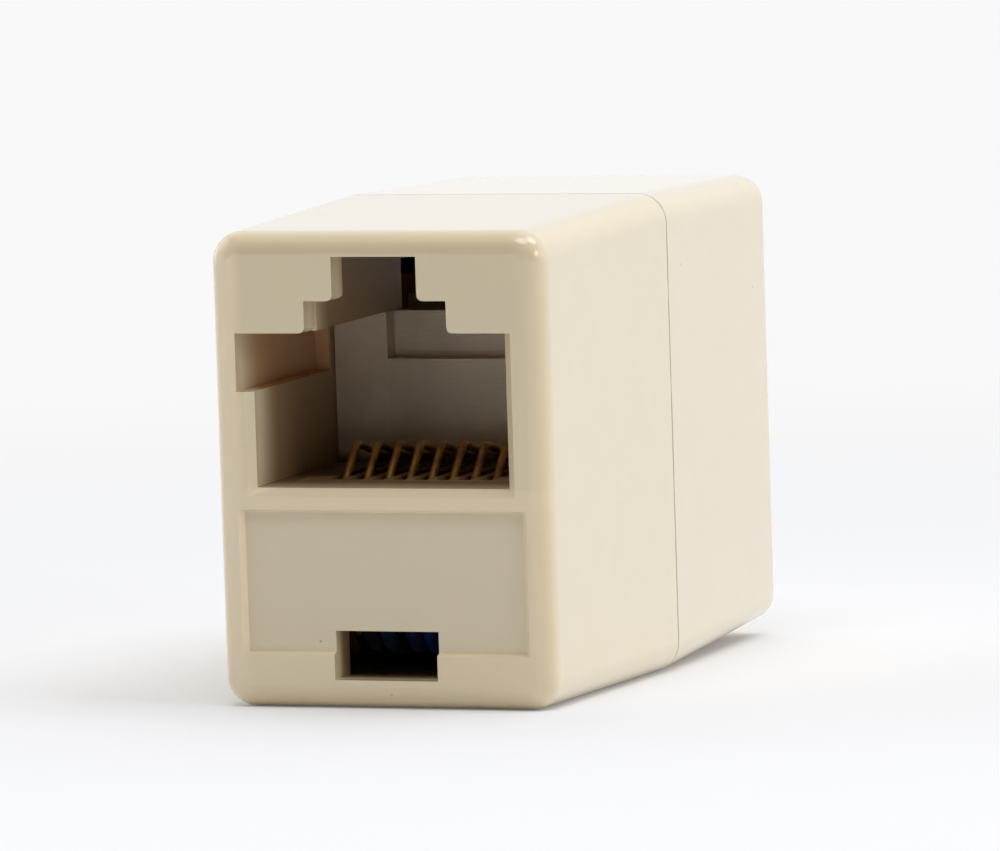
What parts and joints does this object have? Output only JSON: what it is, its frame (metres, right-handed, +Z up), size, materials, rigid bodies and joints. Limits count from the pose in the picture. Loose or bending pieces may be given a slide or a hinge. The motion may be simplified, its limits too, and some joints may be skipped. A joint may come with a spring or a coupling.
{
  "type": "rj45 inline coupler",
  "caption": "Ivory inline coupler with a keyed modular network port in each end of a tapered casing, joining a patch lead to the next.",
  "frame": {"origin": "centre of the casing's seam, at the height of its lowest line", "axes": "+Y runs along the coupler from the front port to the rear port, +Z is up towards the latch side of both ports, +X is to the right when looking into the front port"},
  "size_m": [0.0164, 0.0326, 0.0218],
  "materials": {
    "casing": "satin moulded ABS, ivory",
    "carrier": "moulded thermoplastic, ivory",
    "contact_gold": "thin gold over phosphor bronze wire",
    "tinned_sleeve": "tinned copper, crimped",
    "lead_orange": "PVC insulation",
    "lead_brown": "PVC insulation",
    "lead_green": "PVC insulation",
    "lead_black": "PVC insulation",
    "lead_blue": "PVC insulation",
    "lead_grey": "PVC insulation",
    "lead_red": "PVC insulation",
    "lead_yellow": "PVC insulation"
  },
  "bodies": {
    "root": {"front_shell": "casing", "front_contact_carrier": "carrier", "front_contact_1": "contact_gold", "front_contact_2": "contact_gold", "front_contact_3": "contact_gold", "front_contact_4": "contact_gold", "front_contact_5": "contact_gold", "front_contact_6": "contact_gold", "front_contact_7": "contact_gold", "front_contact_8": "contact_gold", "front_crimp_sleeve_1": "tinned_sleeve", "front_crimp_sleeve_2": "tinned_sleeve", "front_crimp_sleeve_3": "tinned_sleeve", "front_crimp_sleeve_4": "tinned_sleeve", "front_crimp_sleeve_5": "tinned_sleeve", "front_crimp_sleeve_6": "tinned_sleeve", "front_crimp_sleeve_7": "tinned_sleeve", "front_crimp_sleeve_8": "tinned_sleeve", "rear_shell": "casing", "rear_contact_carrier": "carrier", "rear_contact_1": "contact_gold", "rear_contact_2": "contact_gold", "rear_contact_3": "contact_gold", "rear_contact_4": "contact_gold", "rear_contact_5": "contact_gold", "rear_contact_6": "contact_gold", "rear_contact_7": "contact_gold", "rear_contact_8": "contact_gold", "rear_crimp_sleeve_1": "tinned_sleeve", "rear_crimp_sleeve_2": "tinned_sleeve", "rear_crimp_sleeve_3": "tinned_sleeve", "rear_crimp_sleeve_4": "tinned_sleeve", "rear_crimp_sleeve_5": "tinned_sleeve", "rear_crimp_sleeve_6": "tinned_sleeve", "rear_crimp_sleeve_7": "tinned_sleeve", "rear_crimp_sleeve_8": "tinned_sleeve", "lead_1": "lead_orange", "lead_2": "lead_brown", "lead_3": "lead_green", "lead_4": "lead_black", "lead_5": "lead_blue", "lead_6": "lead_grey", "lead_7": "lead_red", "lead_8": "lead_yellow"}
  },
  "joints": []
}
